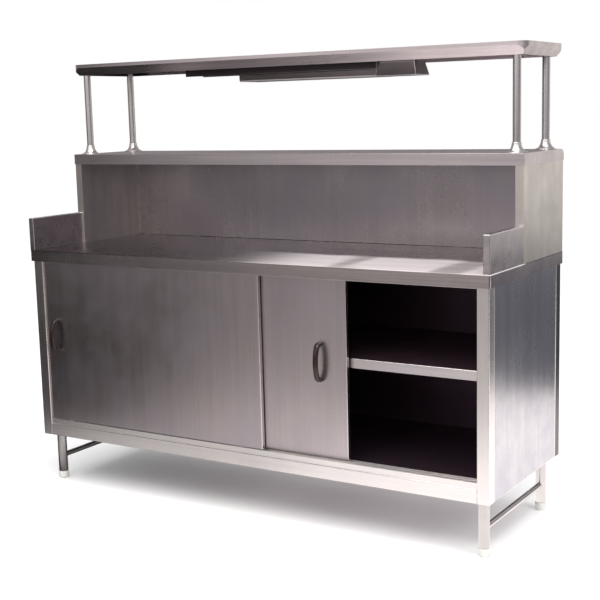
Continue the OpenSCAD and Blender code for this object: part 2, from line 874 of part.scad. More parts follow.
module door_wheel(x, y) {
    color([0.88, 0.87, 0.83]) translate([x, y + door_t / 2, wheel_z]) rotate([90, 0, 0]) rotate_extrude() polygon([
        [wheel_bore_r, -wheel_w / 2], [wheel_r - 1, -wheel_w / 2], [wheel_r, -wheel_w / 2 + 1],
        [wheel_r, wheel_w / 2 - 1], [wheel_r - 1, wheel_w / 2], [wheel_bore_r, wheel_w / 2]
    ]);
}

worktop_pan();
worktop_core_board();
end_splash(-1);  // splash_left
end_splash(1);  // splash_right
riser_back_panel();
riser_side(-1);  // riser_side_left
riser_side(1);  // riser_side_right
riser_top_pan();
riser_channels();
overshelf_posts();
post_flanges();
post_tie_rods();
overshelf_pan();
overshelf_channels();
warmer_channel();
warmer_reflector();
warmer_end_cap();
warmer_terminal_box();
heating_element();
element_holders();
terminal_block();
cable_gland();
warmer_hangers();
warmer_screws();
side_panel(-1);  // side_panel_left
side_panel(1);  // side_panel_right
back_panel();
front_posts();
rear_posts();
bottom_deck();
bottom_rail();
bottom_track();
head_track();
middle_shelf();
shelf_supports();
deck_channels();
leg_plates();
leg(-leg_x, leg_front_y);  // leg_front_left
leg(leg_x, leg_front_y);  // leg_front_right
leg(-leg_x, leg_back_y);  // leg_rear_left
leg(leg_x, leg_back_y);  // leg_rear_right
cross_rails();
foot_inserts();
foot(-leg_x, leg_front_y);  // foot_front_left
foot(leg_x, leg_front_y);  // foot_front_right
foot(-leg_x, leg_back_y);  // foot_rear_left
foot(leg_x, leg_back_y);  // foot_rear_right
door_skin(left_door_x, front_door_y);  // left_door_skin
door_liner(left_door_x, front_door_y);  // left_door_liner
door_handle(left_door_x + left_handle_inset, front_door_y);  // left_door_handle
door_runners(left_door_x, front_door_y);  // left_door_runners
door_wheel(runner_at(left_door_x)[0], front_door_y);  // left_wheel_outer
door_wheel(runner_at(left_door_x)[1], front_door_y);  // left_wheel_inner
door_skin(right_door_x, rear_door_y);  // right_door_skin
door_liner(right_door_x, rear_door_y);  // right_door_liner
door_handle(right_door_x + door_w - right_handle_inset, rear_door_y);  // right_door_handle
door_runners(right_door_x, rear_door_y);  // right_door_runners
door_wheel(runner_at(right_door_x)[0], rear_door_y);  // right_wheel_inner
door_wheel(runner_at(right_door_x)[1], rear_door_y);  // right_wheel_outer
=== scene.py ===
import json
import math

import bmesh
import bpy
import numpy as np
from bpy.props import FloatProperty, FloatVectorProperty, IntProperty, PointerProperty
from mathutils import Matrix, Vector

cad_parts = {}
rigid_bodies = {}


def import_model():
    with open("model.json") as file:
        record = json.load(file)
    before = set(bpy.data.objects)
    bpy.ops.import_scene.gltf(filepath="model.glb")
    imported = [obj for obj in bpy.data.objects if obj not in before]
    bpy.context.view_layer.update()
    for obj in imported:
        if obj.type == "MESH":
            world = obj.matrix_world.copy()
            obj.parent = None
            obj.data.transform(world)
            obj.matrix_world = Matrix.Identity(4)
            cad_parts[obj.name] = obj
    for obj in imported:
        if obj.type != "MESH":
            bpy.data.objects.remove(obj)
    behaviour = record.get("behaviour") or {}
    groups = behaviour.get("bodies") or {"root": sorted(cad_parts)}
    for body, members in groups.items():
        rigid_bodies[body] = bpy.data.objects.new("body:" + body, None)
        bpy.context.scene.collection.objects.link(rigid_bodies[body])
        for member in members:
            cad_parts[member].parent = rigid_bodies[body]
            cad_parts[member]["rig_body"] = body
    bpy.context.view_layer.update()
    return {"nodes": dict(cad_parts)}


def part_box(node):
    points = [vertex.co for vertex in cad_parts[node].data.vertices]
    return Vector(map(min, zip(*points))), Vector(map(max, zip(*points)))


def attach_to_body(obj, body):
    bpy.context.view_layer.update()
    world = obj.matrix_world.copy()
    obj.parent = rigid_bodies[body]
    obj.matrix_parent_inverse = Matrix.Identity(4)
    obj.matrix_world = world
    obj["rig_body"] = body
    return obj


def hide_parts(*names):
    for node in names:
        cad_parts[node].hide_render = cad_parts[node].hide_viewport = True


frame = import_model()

bl_info = {
    "name": "Service counter finishes",
    "version": (1, 0, 0),
    "blender": (4, 5, 0),
    "location": "3D View > Sidebar > Counter",
    "description": "Folded, brushed and polished surfaces of a stainless serving counter with an overshelf",
    "category": "Object",
}

NODES = frame["nodes"]

# Radius of an overshelf post, and height of a levelling foot's cup without its stem
POST_R = 0.0127
FOOT_H = 0.026

# Places of the four finishes on a folded sheet: its face, its polished folds painted brighter as a highlight, its
# dull inner side darkened as painted shade, and its rear side
FACE, FOLD, INNER, REAR = range(4)

# Depth of the slow wave in brushed sheet
WAVE_DEPTH = 0.004

# Points closer than this are one point
MERGE = 0.00002


# ---- settings ----


class CounterSteelSettings(bpy.types.PropertyGroup):
    """Colours and polish of the metal."""

    band_colour: FloatVectorProperty(
        name="Worktop steel",
        description="Colour of the sheet that wraps the worktop, riser and overshelf",
        default=(0.64, 0.585, 0.59),
        subtype="COLOR",
    )
    panel_colour: FloatVectorProperty(
        name="Panel steel",
        description="Colour of the doors, end panels and corner posts",
        default=(0.62, 0.56, 0.565),
        subtype="COLOR",
    )
    # The fold colour is brighter than the sheet: polish along the fold, and a painted highlight on the rounded
    # edge.
    fold_highlight_colour: FloatVectorProperty(
        name="Folded edge",
        description="Colour of the polished outside of a fold, painted brighter as a highlight",
        default=(0.86, 0.83, 0.82),
        subtype="COLOR",
    )
    tube_colour: FloatVectorProperty(
        name="Tube steel",
        description="Colour of the polished posts, flanges and legs",
        default=(0.66, 0.65, 0.64),
        subtype="COLOR",
    )
    # The inside colour is near black: painted shade inside the cabinet, on its inner faces, deck and door liners.
    inner_shade_colour: FloatVectorProperty(
        name="Inside steel",
        description="Colour of the dull sheet inside the cabinet, darkened as painted shade",
        default=(0.15, 0.10, 0.135),
        subtype="COLOR",
    )
    grain: FloatProperty(
        name="Grain depth",
        description="Height of the brushed grain",
        default=0.00002,
        subtype="DISTANCE",
        unit="LENGTH",
    )
    smudge: FloatProperty(
        name="Smudges",
        description="How strongly hands and cloths have dulled the steel, from 0 to 1",
        default=0.5,
        min=0.0,
        max=1.0,
        subtype="FACTOR",
    )


class CounterEdgeSettings(bpy.types.PropertyGroup):
    """Radii of folds and roundings."""

    fold: FloatProperty(
        name="Fold radius",
        description="Outside radius where a sheet is folded",
        default=0.0022,
        subtype="DISTANCE",
        unit="LENGTH",
    )
    worktop_fold: FloatProperty(
        name="Worktop fold radius",
        description="Outside radius of the worktop's front fold",
        default=0.0040,
        subtype="DISTANCE",
        unit="LENGTH",
    )
    handle_width: FloatProperty(
        name="Handle width",
        description="Width of the bow handle at its feet",
        default=0.021,
        subtype="DISTANCE",
        unit="LENGTH",
    )
    round_steps: IntProperty(
        name="Steps round",
        description="Number of faces round a tube",
        default=64,
        min=24,
    )


class CounterStageSettings(bpy.types.PropertyGroup):
    """Camera, floor and light."""

    lens: FloatProperty(
        name="Lens",
        description="Focal length on a 36 mm sensor",
        default=70.93,
        subtype="DISTANCE_CAMERA",
    )
    camera_place: FloatVectorProperty(
        name="Camera place",
        description="Where the camera stands",
        default=(2.2088, -3.4211, 1.3508),
        subtype="TRANSLATION",
        unit="LENGTH",
    )
    camera_turn: FloatVectorProperty(
        name="Camera turn",
        description="Turn to the left, tilt down and roll of the camera",
        default=(math.radians(31.98), math.radians(9.14), math.radians(1.48)),
        subtype="EULER",
        unit="ROTATION",
    )
    room_light: FloatProperty(
        name="Room light",
        description="Brightness of the room that the steel reflects",
        default=0.30,
    )
    lamp_power: FloatProperty(
        name="Lamp power",
        description="Power of the large soft lamp over the counter",
        default=110.0,
        unit="POWER",
    )


def steel():
    return bpy.context.scene.counter_steel


def edges():
    return bpy.context.scene.counter_edges


def stage_settings():
    return bpy.context.scene.counter_stage


# ---- node groups ----


def new_group(name, inputs, outputs):
    """Node group with the given float, colour or vector sockets."""
    group = bpy.data.node_groups.new(name, "ShaderNodeTree")
    for label, kind, default in inputs:
        socket = group.interface.new_socket(label, in_out="INPUT", socket_type=kind)
        socket.default_value = default
    for label, kind in outputs:
        group.interface.new_socket(label, in_out="OUTPUT", socket_type=kind)
    ends = group.nodes.new("NodeGroupInput"), group.nodes.new("NodeGroupOutput")
    return group, ends[0], ends[1]


def math_node(tree, operation, a, b=None):
    node = tree.nodes.new("ShaderNodeMath")
    node.operation = operation
    for socket, value in zip(node.inputs, (a, b)):
        if value is None:
            continue
        if isinstance(value, (int, float)):
            socket.default_value = value
        else:
            tree.links.new(value, socket)
    return node.outputs[0]


def mixed(tree, factor, a, b):
    """Colour between a and b by factor."""
    node = tree.nodes.new("ShaderNodeMix")
    node.data_type = "RGBA"
    for socket, value in ((node.inputs[0], factor), (node.inputs[6], a), (node.inputs[7], b)):
        if isinstance(value, (int, float)):
            socket.default_value = value
        elif isinstance(value, (tuple, list)):
            socket.default_value = (*value[:3], 1.0)
        else:
            tree.links.new(value, socket)
    return node.outputs[2]


def noise(tree, vector, stretch, detail=2.0, roughness=0.5, distortion=0.0):
    """Noise over a stretched vector; stretch is in cycles to the metre."""
    scale = tree.nodes.new("ShaderNodeVectorMath")
    scale.operation = "MULTIPLY"
    tree.links.new(vector, scale.inputs[0])
    scale.inputs[1].default_value = stretch
    node = tree.nodes.new("ShaderNodeTexNoise")
    node.inputs["Scale"].default_value = 1.0
    node.inputs["Detail"].default_value = detail
    node.inputs["Roughness"].default_value = roughness
    node.inputs["Distortion"].default_value = distortion
    tree.links.new(scale.outputs[0], node.inputs["Vector"])
    return node.outputs[0]


def ranged(tree, value, low, high, to_low=0.0, to_high=1.0):
    node = tree.nodes.new("ShaderNodeMapRange")
    node.interpolation_type = "SMOOTHSTEP"
    tree.links.new(value, node.inputs["Value"])
    node.inputs["From Min"].default_value = low
    node.inputs["From Max"].default_value = high
    node.inputs["To Min"].default_value = to_low
    node.inputs["To Max"].default_value = to_high
    return node.outputs[0]


def grain_group(name, axis):
    """Brushed grain along one axis: fine scratches, wider strokes and broad bands of tone."""
    group, given, result = new_group(
        name,
        [("Vector", "NodeSocketVector", (0.0, 0.0, 0.0)), ("Strokes", "NodeSocketFloat", 1.0)],
        [("Tone", "NodeSocketFloat"), ("Height", "NodeSocketFloat")],
    )
    vector = given.outputs["Vector"]

    def stretch(across, along):
        return tuple(along if k == axis else across for k in range(3))

    fine = noise(group, vector, stretch(900.0, 7.0), 3.0, 0.6)
    strokes = noise(group, vector, stretch(130.0, 2.2), 3.0, 0.6)
    bands = noise(group, vector, stretch(22.0, 0.9), 2.0, 0.5)
    part = math_node(group, "MULTIPLY", strokes, 0.5)
    both = math_node(group, "ADD", part, math_node(group, "MULTIPLY", bands, 0.5))
    tone = ranged(group, both, 0.36, 0.64)
    centred = math_node(group, "SUBTRACT", tone, 0.5)
    scaled = math_node(group, "MULTIPLY", centred, given.outputs["Strokes"])
    group.links.new(math_node(group, "ADD", scaled, 0.5), result.inputs["Tone"])
    fine_part = math_node(group, "MULTIPLY", fine, 0.7)
    height = math_node(group, "ADD", fine_part, math_node(group, "MULTIPLY", strokes, 0.3))
    group.links.new(height, result.inputs["Height"])
    return group


def smudge_group():
    """Clouds of dulled metal, patches rubbed clean and small specks."""
    group, given, result = new_group(
        "smudges",
        [("Vector", "NodeSocketVector", (0.0, 0.0, 0.0)), ("Amount", "NodeSocketFloat", 0.5)],
        [("Cloud", "NodeSocketFloat"), ("Specks", "NodeSocketFloat"), ("Waves", "NodeSocketFloat")],
    )
    vector = given.outputs["Vector"]
    wide = ranged(group, noise(group, vector, (3.1, 3.1, 3.1), 4.0, 0.55, 0.3), 0.36, 0.66)
    close = ranged(group, noise(group, vector, (15.0, 15.0, 15.0), 4.0, 0.6), 0.35, 0.68)
    wide_part = math_node(group, "MULTIPLY", wide, 0.65)
    cloud = math_node(group, "ADD", wide_part, math_node(group, "MULTIPLY", close, 0.35))
    group.links.new(math_node(group, "MULTIPLY", cloud, given.outputs["Amount"]), result.inputs["Cloud"])
    specks = ranged(group, noise(group, vector, (260.0, 260.0, 260.0), 1.0, 0.5), 0.74, 0.80)
    group.links.new(math_node(group, "MULTIPLY", specks, given.outputs["Amount"]), result.inputs["Specks"])
    group.links.new(noise(group, vector, (2.4, 2.4, 2.4), 1.0, 0.4), result.inputs["Waves"])
    return group


GROUPS = {}


def placed(tree, group, vector, **values):
    """Puts a node group in a material, with its own values."""
    node = tree.nodes.new("ShaderNodeGroup")
    node.node_tree = GROUPS[group]
    tree.links.new(vector, node.inputs["Vector"])
    for label, value in values.items():
        node.inputs[label.replace("_", " ")].default_value = value
    return node


def new_material(name):
    material = bpy.data.materials.new(name)
    material.use_nodes = True
    tree = material.node_tree
    shader = tree.nodes["Principled BSDF"]
    coordinates = tree.nodes.new("ShaderNodeTexCoord")
    return material, tree, shader, coordinates.outputs["Object"]


def add_bump(tree, shader, height, distance, strength=1.0, first=None):
    bump = tree.nodes.new("ShaderNodeBump")
    bump.inputs["Distance"].default_value = distance
    bump.inputs["Strength"].default_value = strength
    tree.links.new(height, bump.inputs["Height"])
    if first is not None:
        tree.links.new(first.outputs["Normal"], bump.inputs["Normal"])
    tree.links.new(bump.outputs["Normal"], shader.inputs["Normal"])
    return bump


def brushed_steel(name, colour, grain, rough=0.30, strokes=1.0, smudge=0.5, contrast=0.20, tint=(0.93, 0.97, 1.06)):
    """Brushed stainless sheet: strokes vary its tone and roughness, smudges dull it, a slow wave bends it."""
    material, tree, shader, vector = new_material(name)
    brush = placed(tree, grain, vector, Strokes=strokes)
    marks = placed(tree, "smudges", vector, Amount=smudge)
    dark = tuple(c * (1.0 - contrast) for c in colour)
    light = tuple(min(1.0, c * (1.0 + contrast)) for c in colour)
    stroked = mixed(tree, brush.outputs["Tone"], dark, light)
    cool = tuple(c * t * (1.0 - 0.6 * contrast) for c, t in zip(colour, tint))
    clouded = mixed(tree, marks.outputs["Cloud"], stroked, cool)
    specked = mixed(tree, marks.outputs["Specks"], clouded, tuple(c * 0.7 for c in colour))
    tree.links.new(specked, shader.inputs["Base Color"])
    shader.inputs["Metallic"].default_value = 1.0
    streaked = math_node(tree, "MULTIPLY", brush.outputs["Tone"], 0.03)
    dulled = math_node(tree, "MULTIPLY", marks.outputs["Cloud"], 0.08)
    tree.links.new(
        math_node(tree, "ADD", math_node(tree, "ADD", streaked, dulled), rough - 0.04), shader.inputs["Roughness"]
    )
    wave = add_bump(tree, shader, marks.outputs["Waves"], WAVE_DEPTH, 0.5)
    add_bump(tree, shader, brush.outputs["Height"], steel().grain, 1.0, wave)
    return material


def worktop_with_painted_light(name, colour):
    """Worktop sheet: rough, less metallic and brightened along the front, where scrubbing has hazed it and a pool
    of light is painted on it; less rough towards the riser, where painted shade darkens it.
    """
    material, tree, shader, vector = new_material(name)
    brush = placed(tree, "grain_along", vector, Strokes=1.0)
    marks = placed(tree, "smudges", vector, Amount=0.8)
    low, high = corners("worktop_pan")
    # Scrub haze and a painted pool of light share one mask: the front strip of the top, right of the middle, in
    # patches. Elsewhere the top is darkened as painted shade, towards the riser and to the left.
    lit_scrub_depth, half_fade = 0.32, 0.035
    lit_scrub_end = low[1] + lit_scrub_depth
    split = tree.nodes.new("ShaderNodeSeparateXYZ")
    tree.links.new(vector, split.inputs[0])
    ragged = math_node(tree, "MULTIPLY", noise(tree, vector, (4.0, 9.0, 1.0), 3.0, 0.6), 0.10)
    reach = math_node(tree, "ADD", split.outputs["Y"], ragged)
    front = ranged(tree, reach, lit_scrub_end + half_fade, lit_scrub_end - half_fade)
    left = ranged(tree, split.outputs["X"], -0.25, 0.32)
    top = ranged(tree, split.outputs["Z"], high[2] - 0.0035, high[2] - 0.0015)
    patches = ranged(tree, noise(tree, vector, (3.4, 0.6, 1.0), 2.0, 0.5), 0.40, 0.52)
    wiped_and_lit = math_node(tree, "MULTIPLY", math_node(tree, "MULTIPLY", front, left), top)
    scrubbed_and_lit = math_node(tree, "MULTIPLY", wiped_and_lit, ranged(tree, patches, 0.0, 1.0, 0.62, 1.0))

    def toned(dark, light):
        return mixed(tree, brush.outputs["Tone"], tuple(c * dark for c in colour), tuple(c * light for c in colour))

    # Tones: the dark one is painted shade on the top away from the lit front, the bright one is the scrub haze with
    # its painted pool of light, and the band one is the front fold.
    smooth_and_shaded, bright, band = toned(0.34, 0.46), toned(1.06, 1.22), toned(0.90, 1.08)
    sheet = mixed(tree, scrubbed_and_lit, mixed(tree, top, band, smooth_and_shaded), bright)
    specked = mixed(tree, marks.outputs["Specks"], sheet, tuple(c * 0.4 for c in colour))
    tree.links.new(specked, shader.inputs["Base Color"])
    tree.links.new(ranged(tree, scrubbed_and_lit, 0.0, 1.0, 1.0, 0.45), shader.inputs["Metallic"])
    dulled = math_node(tree, "MULTIPLY", marks.outputs["Cloud"], 0.08)
    roughened = ranged(tree, scrubbed_and_lit, 0.0, 1.0, 0.22, 0.50)
    tree.links.new(math_node(tree, "ADD", roughened, dulled), shader.inputs["Roughness"])
    wave = add_bump(tree, shader, marks.outputs["Waves"], WAVE_DEPTH, 0.5)
    add_bump(tree, shader, brush.outputs["Height"], steel().grain, 1.0, wave)
    return material


def plain_metal(name, colour, rough, spread=0.08, dull=0.3, metallic=1.0, patch=0.7, pits=0.00003):
    """Smooth or cast metal with a little dulling and fine pits."""
    material, tree, shader, vector = new_material(name)
    marks = placed(tree, "smudges", vector, Amount=dull)
    tree.links.new(
        mixed(tree, marks.outputs["Cloud"], colour, tuple(c * patch for c in colour)), shader.inputs["Base Color"]
    )
    shader.inputs["Metallic"].default_value = metallic
    tree.links.new(
        math_node(tree, "ADD", math_node(tree, "MULTIPLY", marks.outputs["Cloud"], spread), rough),
        shader.inputs["Roughness"],
    )
    add_bump(tree, shader, marks.outputs["Specks"], pits)
    return material


def moulded(name, colour, rough, coat=0.0, worn=1.3):
    """Moulded plastic, ceramic or phenolic: faint mottle, finger wear and a fine skin."""
    material, tree, shader, vector = new_material(name)
    marks = placed(tree, "smudges", vector, Amount=0.7)
    mottle = noise(tree, vector, (90.0, 90.0, 90.0), 3.0, 0.6)
    base = mixed(tree, mottle, tuple(c * 0.85 for c in colour), tuple(min(1.0, c * 1.15) for c in colour))
    worn_colour = tuple(min(1.0, c * worn) for c in colour)
    tree.links.new(mixed(tree, marks.outputs["Cloud"], base, worn_colour), shader.inputs["Base Color"])
    dulled = math_node(tree, "MULTIPLY", marks.outputs["Cloud"], 0.2)
    tree.links.new(math_node(tree, "ADD", dulled, rough), shader.inputs["Roughness"])
    shader.inputs["Coat Weight"].default_value = coat
    shader.inputs["Coat Roughness"].default_value = 0.12
    add_bump(tree, shader, noise(tree, vector, (1400.0, 1400.0, 1400.0), 2.0), 0.00002)
    return material


def wood_board(name, colour):
    """Plywood: long grain with darker lines."""
    material, tree, shader, vector = new_material(name)
    grain = noise(tree, vector, (2.0, 60.0, 200.0), 4.0, 0.6, 0.4)
    tree.links.new(mixed(tree, grain, tuple(c * 0.6 for c in colour), colour), shader.inputs["Base Color"])
    tree.links.new(ranged(tree, grain, 0.3, 0.7, 0.75, 0.6), shader.inputs["Roughness"])
    add_bump(tree, shader, grain, 0.0002)
    return material


MATERIALS = {}


def make_materials():
    GROUPS["grain_along"] = grain_group("brushed grain along the counter", 0)
    GROUPS["grain_upright"] = grain_group("brushed grain upright", 2)
    GROUPS["smudges"] = smudge_group()
    s = steel()
    band, panel = tuple(s.band_colour), tuple(s.panel_colour)
    amount = s.smudge
    MATERIALS.update(
        band=brushed_steel("brushed band", band, "grain_along", 0.30, 1.0, amount, 0.12),
        worktop=worktop_with_painted_light("scrub-hazed worktop with painted light and shade", band),
        panel=brushed_steel("brushed panel", panel, "grain_upright", 0.30, 0.6, 0.8, 0.09),
        rear=brushed_steel("unpolished rear sheet", (0.46, 0.44, 0.44), "grain_upright", 0.56, 0.4, 0.8, 0.08),
        riser_sheet=brushed_steel("riser sheet", (0.40, 0.365, 0.375), "grain_upright", 0.28, 0.35, 0.9, 0.14),
        riser_end=brushed_steel(
            "mottled end sheet", (0.74, 0.71, 0.67), "grain_upright", 0.38, 0.8, 0.9, 0.12, (0.84, 0.83, 0.85)
        ),
        end_panel=brushed_steel(
            "clouded end panel", (0.62, 0.615, 0.64), "grain_upright", 0.26, 0.7, 0.9, 0.10, (0.84, 0.86, 0.95)
        ),
        post=brushed_steel("corner post steel", (0.88, 0.85, 0.83), "grain_upright", 0.30, 0.8, amount, 0.08),
        # The rear posts take a near-black copy of the post steel.
        rear_post=brushed_steel("near-black rear post", (0.15, 0.145, 0.15), "grain_upright", 0.36, 0.8, amount, 0.10),
        # Folds: polished, and painted brighter than the sheet as a highlight.
        fold=plain_metal("polished fold with painted highlight", tuple(s.fold_highlight_colour), 0.20),
        tube=plain_metal("polished tube", tuple(s.tube_colour), 0.26, 0.08, 0.5, pits=0.000004),
        flange=plain_metal("cast flange", (0.93, 0.92, 0.90), 0.34, 0.10, 0.4, 1.0, 0.85, 0.000004),
        rail=brushed_steel("kick rail steel", (0.90, 0.87, 0.84), "grain_along", 0.34, 0.8, amount, 0.08),
        # Inside sheet: near black as painted shade; it also covers the deck and the door liners.
        inner=plain_metal("dull inner sheet in painted shade", tuple(s.inner_shade_colour), 0.48, 0.15, 0.6),
        track=plain_metal("track steel", (0.60, 0.57, 0.56), 0.30, 0.12, 0.5),
        shelf=brushed_steel("shelf steel", (0.80, 0.76, 0.76), "grain_along", 0.34, 0.8, amount, 0.08),
        warmer=plain_metal("dark warmer sheet", (0.075, 0.062, 0.068), 0.38, 0.12, 0.5),
        warmer_box=plain_metal("grey terminal box", (0.40, 0.385, 0.39), 0.34, 0.12, 0.5),
        reflector=plain_metal("dull reflector", (0.50, 0.485, 0.49), 0.30, 0.12, 0.5),
        element=plain_metal("heater sheath", (0.13, 0.09, 0.07), 0.50, 0.15, 0.7, 0.6),
        hardware=plain_metal("zinc hardware", (0.62, 0.61, 0.57), 0.34, 0.15, 0.4),
        ceramic=moulded("glazed ceramic", (0.80, 0.77, 0.70), 0.30, 0.4, 0.95),
        handle=moulded("brown phenolic", (0.013, 0.007, 0.006), 0.12, 0.0, 1.5),
        black=moulded("black plastic", (0.02, 0.02, 0.021), 0.40, 0.0, 1.5),
        white=moulded("white plastic", (0.62, 0.61, 0.585), 0.42, 0.1, 0.86),
        board=wood_board("core board", (0.48, 0.33, 0.19)),
    )


# ---- pieces ----


def body_of(node):
    return NODES[node]["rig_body"]


def finish_cad(node, material):
    """A CAD part whose shape is right gets its finish."""
    o = NODES[node]
    o.data.materials.clear()
    o.data.materials.append(MATERIALS[material])


def attach(o, node):
    """The piece rides with the part that it stands for and takes its place."""
    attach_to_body(o, body_of(node))
    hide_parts(node)
    return o


def bare_mesh(node):
    """The part's triangles alone, without the normals that came with them."""
    source = NODES[node].data
    points = np.empty(len(source.vertices) * 3, np.float32)
    source.vertices.foreach_get("co", points)
    wound = np.empty(len(source.loops), np.int32)
    source.loops.foreach_get("vertex_index", wound)
    mesh = bpy.data.meshes.new(node + "_folded")
    mesh.from_pydata(points.reshape(-1, 3).tolist(), [], wound.reshape(-1, 3).tolist())
    return mesh


def eased(node, material, radius=None, segments=3, inward=None, rear=False):
    """Copy of a folded part with every edge rounded: the radius is the fold's, or as much as the narrower of
    the two faces at an edge has room for. The rounded strips are polished, and painted brighter than the sheet
    as a highlight; the faces that look along inward, into the cabinet, are dull and darkened as painted shade;
    and with rear the faces that look back are unpolished."""
    radius = radius or edges().fold
    flat, sharp = math.radians(1.0), math.radians(20.0)
    share_of_face, least_weight = 0.42, 0.04
    mesh = bare_mesh(node)
    bm = bmesh.new()
    bm.from_mesh(mesh)
    bmesh.ops.remove_doubles(bm, verts=bm.verts, dist=MERGE)
    bmesh.ops.dissolve_limit(bm, angle_limit=flat, verts=bm.verts, edges=bm.edges)
    bmesh.ops.connect_verts_concave(bm, faces=bm.faces)
    bmesh.ops.recalc_face_normals(bm, faces=bm.faces)
    width = {f: f.calc_area() / max(e.calc_length() for e in f.edges) for f in bm.faces}
    weight = bm.edges.layers.float.new("bevel_weight_edge")
    for e in bm.edges:
        if len(e.link_faces) != 2 or e.calc_face_angle(0.0) < sharp:
            continue
        room = share_of_face * min(width[f] for f in e.link_faces)
        e[weight] = min(1.0, max(least_weight, room / radius))
    for f in bm.faces:
        if inward is not None and f.normal.dot(Vector(inward)) > 0.5:
            f.material_index = INNER
        if rear and f.normal.y > 0.5:
            f.material_index = REAR
    bm.to_mesh(mesh)
    bm.free()
    for finish in (material, "fold", "inner", "rear"):
        mesh.materials.append(MATERIALS[finish])
    mesh.shade_smooth()
    o = bpy.data.objects.new(node + "_folded", mesh)
    bpy.context.scene.collection.objects.link(o)
    bevel = o.modifiers.new("fold", "BEVEL")
    bevel.limit_method = "WEIGHT"
    bevel.width = radius
    bevel.segments = segments
    bevel.material = FOLD
    bevel.harden_normals = True
    bevel.use_clamp_overlap = True
    bevel.loop_slide = True
    return attach(o, node)


def ring_skin(name, rings, material, smooth_angle=35.0, closed_path=False):
    """Skin over rings of points: point j of ring i meets point j of ring i+1, and each ring is joined to itself.
    A flat face closes the first and the last ring, unless the path is closed and those two rings are one."""
    rings = np.asarray(rings, float)
    count, around = rings.shape[:2]
    i, j = np.meshgrid(np.arange(count - 1), np.arange(around), indexing="ij")
    nxt = (j + 1) % around
    here, beyond = i * around, (i + 1) * around
    faces = np.stack([here + j, here + nxt, beyond + nxt, beyond + j], -1).reshape(-1, 4).tolist()
    if not closed_path:
        faces.append(list(range(around))[::-1])
        faces.append(list(range((count - 1) * around, count * around)))
    mesh = bpy.data.meshes.new(name)
    mesh.from_pydata(rings.reshape(-1, 3).tolist(), [], faces)
    bm = bmesh.new()
    bm.from_mesh(mesh)
    bmesh.ops.remove_doubles(bm, verts=bm.verts, dist=MERGE / 2)
    bmesh.ops.recalc_face_normals(bm, faces=bm.faces)
    bm.to_mesh(mesh)
    bm.free()
    mesh.shade_smooth()
    mesh.set_sharp_from_angle(angle=math.radians(smooth_angle))
    mesh.materials.append(MATERIALS[material])
    o = bpy.data.objects.new(name, mesh)
    bpy.context.scene.collection.objects.link(o)
    return o


def turned(centre, profile, steps):
    """Surface of revolution: profile rows (radius, height) turned about an upright line through centre."""
    profile = np.asarray(profile, float)
    turn = np.linspace(0.0, 2.0 * math.pi, steps, endpoint=False)
    r, z = profile[:, :1], profile[:, 1:]
    x = centre[0] + r * np.cos(turn)
    y = centre[1] + r * np.sin(turn)
    return np.stack([x, y, np.broadcast_to(z, x.shape)], -1)


def joined(name, parts):
    """Several skins of one finish become one mesh."""
    bm = bmesh.new()
    for part in parts:
        bm.from_mesh(part.data)
    mesh = bpy.data.meshes.new(name)
    bm.to_mesh(mesh)
    bm.free()
    for m in parts[0].data.materials:
        mesh.materials.append(m)
    for part in parts:
        old = part.data
        bpy.data.objects.remove(part)
        bpy.data.meshes.remove(old)
    o = bpy.data.objects.new(name, mesh)
    bpy.context.scene.collection.objects.link(o)
    return o


def corners(node):
    low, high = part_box(node)
    return np.array(low), np.array(high)


def post_places():
    """Middles of the four overshelf posts, from the posts' own box."""
    low, high = corners("overshelf_posts")
    r = POST_R
    return [(x, y) for x in (low[0] + r, high[0] - r) for y in (low[1] + r, high[1] - r)]


def bow_handle(node, name):
    """Bow pull: its middle line is half of a flattened ring, with height H cos(a) (1 - 0.06 sin(a)^2) and reach
    R sin(a)^0.55 for a from 0 to pi, and its section is an oval that widens and thickens towards the two feet."""
    low, high = corners(node)
    centre_x = (low[0] + high[0]) / 2
    centre_z = (low[2] + high[2]) / 2
    wide = edges().handle_width / 2
    thick = 0.0062
    end_gap, base = 0.001, 0.0006
    half = (high[2] - low[2]) / 2 - thick - end_gap
    reach = high[1] - low[1] - thick
    a = np.linspace(0.0, math.pi, 57)
    y = high[1] - base - (reach - base) * np.sin(a) ** 0.55
    z = centre_z + half * np.cos(a) * (1.0 - 0.06 * np.sin(a) ** 2)
    line = np.stack([y, z], -1)
    along = np.gradient(line, axis=0)
    along[0], along[-1] = (-1.0, 0.0), (1.0, 0.0)
    along /= np.linalg.norm(along, axis=1, keepdims=True)
    across = np.stack([-along[:, 1], along[:, 0]], -1)
    foot = np.abs(np.cos(a)) ** 6
    turn = np.linspace(0.0, 2.0 * math.pi, 32, endpoint=False)
    w = (wide * (0.86 + 0.14 * foot))[:, None]
    t = (thick * (1.0 + 0.25 * foot))[:, None]
    oval_x = w * np.sign(np.cos(turn)) * np.abs(np.cos(turn)) ** 0.8
    oval_n = t * np.sign(np.sin(turn)) * np.abs(np.sin(turn)) ** 0.9
    x = centre_x + oval_x
    yy = line[:, :1] + across[:, :1] * oval_n
    zz = line[:, 1:] + across[:, 1:] * oval_n
    return ring_skin(name, np.stack([x, np.minimum(yy, high[1] - 0.0001), zz], -1), "handle", 60.0)


def trumpet_flange(centre, z, name):
    """Trumpet foot of a post: radius from the rim to the neck along a quarter of an ellipse, with a round
    bead at the rim and a small collar at the neck."""
    rim, neck, high, foot = 0.033, POST_R + 0.0024, 0.0318, 0.003
    a = np.linspace(math.pi / 2, 0.0, 22)
    sweep = np.stack([rim - 0.0008 - (rim - 0.0008 - neck) * np.cos(a), high - (high - foot) * np.sin(a)], -1)
    bead = np.array([[rim - 0.0006, 0.0], [rim, 0.0006], [rim, 0.0022], [rim - 0.0004, 0.0028]])
    collar = np.array([[neck, high - 0.0005], [neck - 0.0004, high], [POST_R + 0.0001, high]])
    bore = np.array([[POST_R + 0.0001, 0.0]])
    profile = np.concatenate([bead, sweep[1:-1], collar, bore, bead[:1]])
    profile[:, 1] += z
    return ring_skin(name, turned(centre, profile, edges().round_steps), "flange", 50.0, True)


